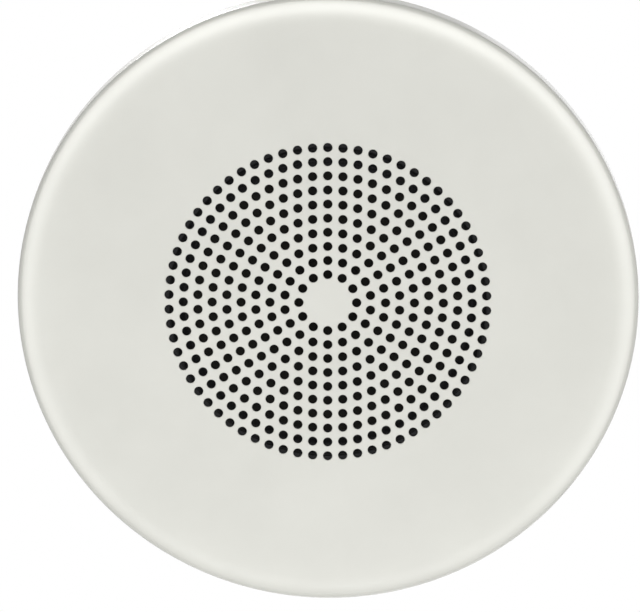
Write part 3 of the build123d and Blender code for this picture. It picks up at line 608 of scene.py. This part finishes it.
def glueBead(size, level, way, wander):
    # a quarter-round bead in a corner: r = corner + b cos t, z = level + way b sin t; b wavers round the ring
    arc = np.linspace(0, pi / 2, size["rows"])[:, None]
    angle = fullTurn(size["segments"])[None]
    waves = [depth * np.sin(count * angle + share * wander) for count, depth, share in size["waves"]]
    bead = size["bead"] * sum(waves, 1)
    grid = onCircle(size["corner"] + bead * np.cos(arc), angle, level + way * bead * np.sin(arc))
    back = onCircle(size["corner"], angle, level)
    points = np.concatenate([grid[::way], back]).reshape(-1, 3)
    return points, gridFaces(size["rows"] + 1, size["segments"], True), np.zeros((0, 3), int), points


beads = joined([glueBead(glue, glue["topZ"], 1, 0.4), glueBead(glue, glue["lowZ"], -1, 1.9)])
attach(makePiece("magnetGlue", *beads[:3]), "frame").data.materials.append(epoxyGlue)
print("motor")

# moving system
cone = {"rim": 74.0, "rimWidth": 2.6, "rimZ": -8.7, "footR": 12.9, "footZ": 15.3, "neckZ": 17.8, "bow": 4.0,
        "sheet": 0.5, "steps": 40, "segments": 144}


def arcThrough(start, through, end, steps):
    # circle through three points, swept from the first to the last
    (ax, ay), (bx, by), (cx, cy) = start, through, end
    scale = 2 * (ax * (by - cy) + bx * (cy - ay) + cx * (ay - by))
    a, b, c = ax * ax + ay * ay, bx * bx + by * by, cx * cx + cy * cy
    x = (a * (by - cy) + b * (cy - ay) + c * (ay - by)) / scale
    y = (a * (cx - bx) + b * (ax - cx) + c * (bx - ax)) / scale
    angles = np.unwrap([np.arctan2(ay - y, ax - x), np.arctan2(by - y, bx - x), np.arctan2(cy - y, cx - x)])
    sweep = np.linspace(angles[0], angles[2], steps)
    radius = np.hypot(ax - x, ay - y)
    return np.stack([x + radius * np.cos(sweep), y + radius * np.sin(sweep)], -1)


def coneLoop(size):
    # front of the cone on one arc from neck to rim, its back the same arc one sheet behind
    sheet, foot, neck = size["sheet"], np.array([size["footR"], size["footZ"]]), size["neckZ"]
    edge = np.array([size["rim"] - size["rimWidth"], size["rimZ"]])
    middle = (edge + foot) / 2 - [size["bow"] / 2, size["bow"]]
    front = arcThrough(foot, middle, edge, size["steps"])
    behind = arcThrough(edge + [0, sheet], middle + [sheet / 2, sheet], foot + [sheet, sheet], size["steps"])
    rim = [[size["rim"], size["rimZ"]], [size["rim"], size["rimZ"] + sheet]]
    return np.concatenate([[[size["footR"], neck]], front, rim, behind, [[size["footR"] + sheet, neck]]])


loop = coneLoop(cone)
dress(makePiece("paperCone", *turned(loop, outlineNormals(loop), cone["segments"])), conePaper, "cone_paper",
      "diaphragm", "cone")

dustCap = {"radius": 18.0, "rise": 6.5, "sheet": 0.4, "rows": 18, "segments": 96,
           "low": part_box("dust_cap")[0].z * 1000}


def capDome(size, depth):
    # part of a sphere: r = s sin t, z = centre - s cos t, with s smaller by the depth
    sphere = (size["radius"] ** 2 + size["rise"] ** 2) / (2 * size["rise"])
    polar = np.arcsin(size["radius"] / sphere) * np.linspace(0, 1, size["rows"])
    reach = sphere - depth
    return np.stack([reach * np.sin(polar), size["low"] + sphere - reach * np.cos(polar)], -1)


loop = np.concatenate([capDome(dustCap, 0.0), capDome(dustCap, dustCap["sheet"])[::-1]])
dress(makePiece("dustCap", *turned(loop, outlineNormals(loop), dustCap["segments"], True)), conePaper,
      "cone_paper", "diaphragm", "dust_cap")
weldedCopy("coil_former", "coilFormer", 0.0, formerFoil, "former_foil", "diaphragm")
weldedCopy("voice_coil", "voiceCoil", 0.15, coilCopper, "coil_copper", "diaphragm")
print("moving system")

# surround and spider: pleated cloth rings between the moving and the fixed parts
surroundCut = {"lip": 92.4, "outer": 83.5, "inner": 74.0, "band": 71.4, "lipZ": -11.6, "bandZ": -9.18,
               "sheet": 0.4, "pleats": 3, "bulge": 1.1, "pleatSteps": 20, "segments": 160}
spiderCut = {"lip": 50.0, "outer": 41.0, "inner": 14.98, "band": 12.98, "lipZ": 22.4, "bandZ": 22.4,
             "sheet": 0.4, "pleats": 8, "bulge": -1.3, "pleatSteps": 20, "segments": 144}


def pleatedRing(name, size):
    # height = straight line from band to lip, plus a sine of so many half waves between the two flats
    share = np.linspace(0, 1, size["pleatSteps"] * size["pleats"])
    radius = size["inner"] + (size["outer"] - size["inner"]) * share
    rise = size["bulge"] * np.sin(pi * size["pleats"] * (1 - share))
    height = size["bandZ"] + (size["lipZ"] - size["bandZ"]) * share + rise
    under = np.concatenate([[[size["band"], size["bandZ"]]], np.stack([radius, height], -1),
                            [[size["lip"], size["lipZ"]]]])
    outline = np.concatenate([under, under[::-1] + [0, size["sheet"]]])
    return makePiece(name, *turned(outline, outlineNormals(outline), size["segments"]))


def bendRing(piece):
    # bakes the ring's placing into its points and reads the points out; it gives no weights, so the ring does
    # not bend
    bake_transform(piece)
    points = np.zeros(len(piece.data.vertices) * 3, np.float32)
    piece.data.vertices.foreach_get("co", points)
    points = points.reshape(-1, 3)


surround = dress(pleatedRing("pleatedSurround", surroundCut), surroundCloth, "surround_cloth", None,
                 "surround")
bendRing(surround)
spider = dress(pleatedRing("clothSpider", spiderCut), spiderCloth, "spider_cloth", None, "spider")
bendRing(spider)
print("surround and spider")

# terminal board with its lugs and rivet
boardRivet = {"radius": 2.75, "height": 1.2, "level": 25.4, "places": [(47.5, 0, 0)]}
strapRivets = {"radius": 3.2, "height": 1.3, "level": 2.6, "places": [(23.8, 75.4, 0), (-23.8, 75.4, 0)]}
rivetHead = {"edge": 0.25, "steps": 8, "segments": 36}  # the upright edge as a share of the height
weldedCopy("terminal_board", "terminalBoard", 0.12, boardPhenolic, "board_phenolic")
weldedCopy("terminal_lugs", "terminalLugs", 0.1, tinnedBrass, "tinned_brass")


def domedHeads(size):
    # rivet heads: a quarter ellipse r = R cos t, z = h sin t over a short upright edge
    radius, low, edge = size["radius"], size["level"], rivetHead["edge"] * size["height"]
    dome = size["height"] - edge
    quarter = np.linspace(0, pi / 2, rivetHead["steps"])
    arc = np.stack([radius * np.cos(quarter), low + edge + dome * np.sin(quarter)], -1)
    arcUp = np.stack([np.cos(quarter) / radius, np.sin(quarter) / dome], -1)
    outline = np.concatenate([[[0, low], [radius, low]], arc])
    outline[-1, 0] = 0
    normal = unit(np.concatenate([[[0, -1], [1, 0]], arcUp]))
    return moved(turned(outline, normal, rivetHead["segments"], True), size["places"])


dress(makePiece("boardRivet", *domedHeads(boardRivet)), tinnedBrass, "tinned_brass", "frame", "board_rivet")
print("terminal board")

# line transformer, and the brackets and pins of the springs
weldedCopy("transformer_core", "laminatedCore", 0.15, coreSteel, "core_steel")
weldedCopy("transformer_bobbin", "windingBobbin", 0.12, bobbinNylon, "bobbin_nylon")
weldedCopy("transformer_winding", "tapedWinding", 0.4, windingTape, "winding_tape")
weldedCopy("transformer_strap", "coreStrap", 0.12, zincSteel, "zinc_steel")
weldedCopy("tap_lugs", "tapLugs", 0.08, tinnedBrass, "tinned_brass")
weldedCopy("spring_bracket_right", "springBracketRight", 0.2, zincSteel, "zinc_steel")
weldedCopy("spring_bracket_left", "springBracketLeft", 0.2, zincSteel, "zinc_steel")
weldedCopy("spring_pins", "springPins", 0.2, zincSteel, "zinc_steel")
dress(makePiece("strapRivets", *domedHeads(strapRivets)), zincSteel, "zinc_steel", "frame", "strap_rivets")
print("transformer and brackets")

# solder on the wire ends: in the eyes of the driver's two lugs, and at the transformer's two secondary taps
terminals = {"lugX": 63.43, "lugSide": 7.0, "eyeZ": 31.9, "tapX": 6.0, "tapY": 62.9, "tapZ": 30.55}
lugSolder = {"out": 0.25, "size": (1.0, 1.5, 1.4), "waver": 0.08, "rows": 10, "sides": 20}
tapSolder = {"back": 0.55, "up": 0.65, "size": (1.0, 1.15, 1.7), "waver": 0.1, "rows": 10, "sides": 20}


def solderDrops(size, places):
    # ellipsoids whose radius wavers a little: r (1 + w sin 3a sin 2b)
    polar = np.linspace(0, pi, size["rows"])[1:-1, None]
    angle = fullTurn(size["sides"])[None]
    swell = 1 + size["waver"] * np.sin(3 * angle) * np.sin(2 * polar)
    grid = onCircle(np.sin(polar), angle, -np.cos(polar)) * swell[..., None]
    ball, quads, fans = capped(grid, [[0, 0, -1], [0, 0, 1]])
    return moved((ball * size["size"], quads, fans, ball / size["size"]), places)


lugX, lugZ = terminals["lugX"] + lugSolder["out"], terminals["eyeZ"]
tapY, tapZ = terminals["tapY"] - tapSolder["back"], terminals["tapZ"] + tapSolder["up"]
drops = joined([solderDrops(lugSolder, [(lugX, side * terminals["lugSide"], lugZ) for side in (1, -1)]),
                solderDrops(tapSolder, [(side * terminals["tapX"], tapY, tapZ) for side in (1, -1)])])
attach(makePiece("solderJoints", *drops[:3]), "frame").data.materials.append(solderTin)

# spot welds on the feet of the spring brackets
welds = {"bracketX": 118.5, "side": 6.0, "radius": 2.1, "rise": 0.12, "level": -13.0, "lift": 0.02,
         "sunk": 0.05, "steepness": 1.6, "middle": 0.9, "lean": 0.1, "rows": 9, "segments": 28}


def weldDish(size):
    # a low ring round a dished middle: z = rise (1 - (k s - m)^2 / m^2), s = r / R, k steepness, m middle
    share = np.linspace(1, 0, size["rows"])
    crest = 1 - (size["steepness"] * share - size["middle"]) ** 2 / size["middle"] ** 2
    height = size["level"] + size["rise"] * crest + size["lift"]
    foot = size["level"] - size["sunk"]
    top = np.stack([size["radius"] * share, height], -1)
    outline = np.concatenate([[[0, foot], [size["radius"], foot]], top])
    slope = np.concatenate([[[0, -1], [1, 0]], np.stack([size["lean"] * share, np.ones(size["rows"])], -1)])
    return turned(outline, unit(slope), size["segments"], True)


weldPlaces = [(x * welds["bracketX"], y * welds["side"], 0) for x in (1, -1) for y in (1, -1)]
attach(makePiece("spotWelds", *moved(weldDish(welds), weldPlaces)), "frame").data.materials.append(weldMark)
print("solder and welds")

# torsion springs: wound wire with two splayed legs and turned ends
spring = {"wire": 1.0, "coil": 6.5, "pitch": 2.2, "turns": 2 + 156 / 360, "spread": radians(12), "leg": 60.0,
          "hook": 8.0, "bend": 3.0, "start": (110.9, 0.0, -0.2), "steps": 110, "sides": 20}


def springWire(size):
    # helix p = start + R (cos t U + sin t V) + pitch t X, run on straight along its tangents, then bent out
    lean, start, hook = size["spread"], np.array(size["start"]), np.array([0, size["hook"], 0])
    u = np.array([0, -np.cos(lean), -np.sin(lean)])
    v = np.array([0, np.sin(lean), -np.cos(lean)])
    turn = np.linspace(0, 2 * pi * size["turns"], size["steps"])[:, None]
    climb = [1, 0, 0] * (size["pitch"] * turn / (2 * pi))
    coil = start + size["coil"] * (np.cos(turn) * u + np.sin(turn) * v) + climb
    along = unit(size["coil"] * (-np.sin(turn) * u + np.cos(turn) * v) + [size["pitch"] / (2 * pi), 0, 0])
    legIn, legOut = coil[0] - along[0] * size["leg"], coil[-1] + along[-1] * size["leg"]
    into = roundedPath([legIn - hook, legIn, coil[0]], size["bend"])
    away = roundedPath([coil[-1], legOut, legOut + hook], size["bend"])
    return tube(np.concatenate([into[:-1], coil, away[1:]]), size["wire"], size["sides"], (1, 0, 0))


wire = springWire(spring)
for side, turn in (("right", 0), ("left", pi)):
    piece = makePiece(f"torsionSpring{side.title()}", *moved(wire, [(0, 0, 0)], [turn]))
    dress(piece, zincSteel, "zinc_steel", "frame", f"torsion_spring_{side}")
print("springs")

# tinsel braids from the cone to the lugs, tied to no body
tinsel = {"radius": 0.6, "startX": 36.0, "lugX": 59.03, "lowZ": 3.29, "topZ": 23.22, "fixedZ": 12.0,
          "bend": 9.0, "bendSteps": 17, "step": 0.35, "sides": 18, "strands": 5, "strandDepth": 0.28,
          "lay": 5.0}
for side, sign in ((1, "Plus"), (-1, "Minus")):
    y = side * terminals["lugSide"]
    route = roundedPath([(tinsel["startX"], y, tinsel["lowZ"]), (tinsel["lugX"], y, tinsel["lowZ"]),
                         (tinsel["lugX"], y, tinsel["topZ"])], tinsel["bend"], tinsel["bendSteps"])
    braid = tube(evenly(route, tinsel["step"]), tinsel["radius"], tinsel["sides"], (0, 1, 0),
                 tinsel["strands"], tinsel["strandDepth"], tinsel["lay"])
    braid = dress(makePiece(f"tinselBraid{sign}", *braid[:3]), tinselBraid, "tinsel", None,
                  f"tinsel_lead_{sign.lower()}")
    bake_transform(braid)

# insulated leads from the transformer's taps over to the lugs, each in a lane of its own
hookup = {"radius": 0.85, "bend": 4.0, "bendSteps": 13, "step": 0.8, "sides": 20, "across": (0.63, 0.77, 0.0),
          "overZ": 39.9, "lane": 4.0}
for lane, side, leadName in ((0, 1, "red"), (1, -1, "black")):
    x, y = side * terminals["tapX"], side * terminals["lugSide"]
    over = hookup["overZ"] + lane * hookup["lane"]
    outX = terminals["lugX"] + 2 * hookup["bend"] + lane * hookup["lane"]
    route = roundedPath([(x, terminals["tapY"], terminals["tapZ"]), (x, terminals["tapY"], over),
                         (outX, y, over), (outX, y, terminals["eyeZ"]),
                         (terminals["lugX"], y, terminals["eyeZ"])], hookup["bend"], hookup["bendSteps"])
    lead = tube(evenly(route, hookup["step"]), hookup["radius"], hookup["sides"], hookup["across"])
    dress(makePiece(f"{leadName}Lead", *lead), leadFinishes[leadName], f"lead_{leadName}", "frame",
          f"secondary_lead_{leadName}")
print("leads")


def stageSheet(name, corners, finish):
    # one flat face of the studio; gives its material
    mesh = bpy.data.meshes.new(name)
    mesh.from_pydata(corners, [], [tuple(range(len(corners)))])
    inScene(name, mesh)
    mesh.materials.append(bpy.data.materials.new(finish))
    return mesh.materials[0]


# floor: shown from above to the camera and, away from the part, to reflections; clear to all other light, so
# that the face is lit from below; it fades to white far out
floor = {"reach": 9.0, "level": -0.01505, "clearWithin": 0.166, "tone": "#D6D6D4", "fade": (0.3, 2.5)}
tree = bareTree(stageSheet("floor", [(x * floor["reach"], y * floor["reach"], floor["level"])
                                     for x, y in ((-1, -1), (1, -1), (1, 1), (-1, 1))], "pale studio floor"))
rays = addNode(tree, "LightPath").node.outputs
below = addNode(tree, "NewGeometry", out="Backfacing")
above = addNode(tree, "Math", {0: 1.0}, {1: below}, operation="SUBTRACT")
spot = addNode(tree, "TexCoord", out="Object")
away = addNode(tree, "VectorMath", feeds={0: spot}, out="Value", operation="LENGTH")
outside = addNode(tree, "Math", {1: floor["clearWithin"]}, {0: away}, operation="GREATER_THAN")
mirrored = addNode(tree, "Math", feeds={0: rays["Is Glossy Ray"], 1: outside}, operation="MULTIPLY")
looked = addNode(tree, "Math", feeds={0: rays["Is Camera Ray"], 1: mirrored}, operation="MAXIMUM")
seen = addNode(tree, "Math", feeds={0: looked, 1: above}, operation="MULTIPLY")
clear = addNode(tree, "BsdfTransparent")
pale = addNode(tree, "BsdfDiffuse", {"Color": linear(floor["tone"])})
fade = addNode(tree, "MapRange", {"From Min": floor["fade"][0], "From Max": floor["fade"][1]},
               {"Value": away}, interpolation_type="SMOOTHSTEP")
backdrop = addNode(tree, "Emission", {"Color": (1, 1, 1, 1), "Strength": 1.0})
sweep = addNode(tree, "MixShader", feeds={0: fade, 1: pale, 2: backdrop})
mixed = addNode(tree, "MixShader", feeds={0: seen, 1: clear, 2: sweep})
addNode(tree, "OutputMaterial", feeds={"Surface": mixed})

# white card close under the face, seen in reflections alone: it keeps the ring of light off the shoulder in
# views from behind
card = {"radius": 0.15, "height": -0.035, "tone": 1.0, "sides": 64}
cardCorners = onCircle(card["radius"], fullTurn(card["sides"]), card["height"])
cardFinish = stageSheet("reflectionCard", cardCorners.tolist(), "white card")
cardFinish.cycles.emission_sampling = "NONE"
tree = bareTree(cardFinish)
glossy = addNode(tree, "LightPath", out="Is Glossy Ray")
clear = addNode(tree, "BsdfTransparent")
shine = addNode(tree, "Emission", {"Color": (1, 1, 1, 1), "Strength": card["tone"]})
mixed = addNode(tree, "MixShader", feeds={0: glossy, 1: clear, 2: shine})
addNode(tree, "OutputMaterial", feeds={"Surface": mixed})

# world: white to the camera and to reflections, else a dim light that grows upwards
sky = {"lowZ": -0.2, "highZ": 0.5, "low": 0.02, "high": 0.3}
world = bpy.data.worlds.new("studio")
scene.world = world
tree = bareTree(world)
rays = addNode(tree, "LightPath").node.outputs
looked = addNode(tree, "Math", feeds={0: rays["Is Camera Ray"], 1: rays["Is Glossy Ray"]},
                 operation="MAXIMUM")
seen = addNode(tree, "Math", feeds={0: looked, 1: rays["Is Transmission Ray"]}, operation="MAXIMUM")
heading = addNode(tree, "TexCoord", out="Generated")
axes = addNode(tree, "SeparateXYZ", feeds={"Vector": heading}).node.outputs
lift = addNode(tree, "MapRange", {"From Min": sky["lowZ"], "From Max": sky["highZ"], "To Min": sky["low"],
                                  "To Max": sky["high"]}, {"Value": axes["Z"]})
soft = addNode(tree, "Background", {"Color": (1, 1, 1, 1)}, {"Strength": lift})

# a ring of soft light under the face, strongest towards -Y, that only reflections see: it draws the bright
# shoulder
ringLight = {"axis": (-0.0186, 0.2461, -0.969), "strength": 8.0, "startZ": 0.1, "fullZ": -0.1}
offAxis = addNode(tree, "VectorMath", {1: ringLight["axis"]}, {0: heading}, out="Value",
                  operation="DOT_PRODUCT")
ring = addNode(tree, "ValToRGB", feeds={"Fac": offAxis}, stops=[
    (0.0, "#A8A8A8"), (0.5, "#BCBCBC"), (0.8, "#FFFFFF"), (0.89, "#F8F8F8"), (1.0, "#000000")])
across = addNode(tree, "Math", {1: 0.5, 2: 0.5}, {0: axes["Y"]}, operation="MULTIPLY_ADD")
share = addNode(tree, "ValToRGB", feeds={"Fac": across}, stops=[
    (0.2, "#FFFFFF"), (0.4, "#F1F1F1"), (0.5, "#D1D1D1"), (0.6, "#B6B6B6"), (0.75, "#B6B6B6"),
    (0.85, "#505050"), (1.0, "#000000")])
under = addNode(tree, "MapRange", {"From Min": ringLight["startZ"], "From Max": ringLight["fullZ"],
                                   "To Max": ringLight["strength"]}, {"Value": axes["Z"]})
glow = addNode(tree, "Math", feeds={0: ring, 1: share}, operation="MULTIPLY")
glow = addNode(tree, "Math", feeds={0: glow, 1: under}, operation="MULTIPLY")
glow = addNode(tree, "Math", {2: 1.0}, {0: glow, 1: rays["Is Glossy Ray"]}, operation="MULTIPLY_ADD")
white = addNode(tree, "Background", {"Color": (1, 1, 1, 1)}, {"Strength": glow})
mixed = addNode(tree, "MixShader", feeds={0: seen, 1: soft, 2: white})
addNode(tree, "OutputWorld", feeds={"Surface": mixed})

# each sun stands in the direction given, and shows in reflections only where it is mirrored; a strength of
# pi, square on, gives a surface its written colour
lamps = {
    "faceTop": {"from": (0.0, -0.45, -0.89), "strength": 1.18, "angle": 40, "mirrored": False},
    "faceLeft": {"from": (-0.45, 0.1, -0.89), "strength": 0.77, "angle": 40, "mirrored": False},
    "faceRight": {"from": (0.5, 0.1, -0.86), "strength": 0.88, "angle": 40, "mirrored": False},
    "faceLow": {"from": (0.05, 0.5, -0.86), "strength": 0.55, "angle": 40, "mirrored": False},
    "backKey": {"from": (-0.42, -0.50, 1.1), "strength": 2.0, "angle": 20, "mirrored": True},
    "backFill": {"from": (0.7, 0.1, 0.9), "strength": 0.45, "angle": 60, "mirrored": True},
    "backRim": {"from": (0.1, 0.8, 0.8), "strength": 0.45, "angle": 45, "mirrored": True},
}
# a near panel that lifts the lower half of the face
lowPanel = {"from": (0.0, 0.45, -0.5), "size": 0.3, "strength": 0.45, "mirrored": False}


def addLamp(name, kind, lamp):
    # a lamp that shines on the origin from its direction
    light = bpy.data.lights.new(name, kind)
    light.energy = lamp["strength"]
    holder = inScene(name, light)
    holder.rotation_euler = Vector(lamp["from"]).to_track_quat("Z", "Y").to_euler()
    holder.visible_glossy = lamp["mirrored"]
    return light, holder


for name, lamp in lamps.items():
    light, holder = addLamp(name, "SUN", lamp)
    light.angle = radians(lamp["angle"])
light, holder = addLamp("faceLowPanel", "AREA", lowPanel)
light.shape, light.size = "DISK", lowPanel["size"]
holder.location = lowPanel["from"]

# long lens, a little to one side of the axis and under the face, with image up along -Y
shot = {"lens": 350.4, "sensor": 36.0, "distance": 3275.6, "towards": (0.0186, -0.2461, -0.969),
        "aim": (-4.06, 1.8, -15.0), "far": 100000}
backward = Vector(shot["towards"]).normalized()
rightward = Vector((0, -1, 0)).cross(backward).normalized()
upward = backward.cross(rightward)
lens = bpy.data.cameras.new("camera")
lens.lens, lens.sensor_width, lens.clip_end = shot["lens"], shot["sensor"], shot["far"] * mm
camera = inScene("camera", lens)
spot = (Vector(shot["aim"]) + backward * shot["distance"]) * mm
camera.matrix_world = Matrix.Translation(spot) @ Matrix((rightward, upward, backward)).transposed().to_4x4()
scene.camera = camera
print("studio")
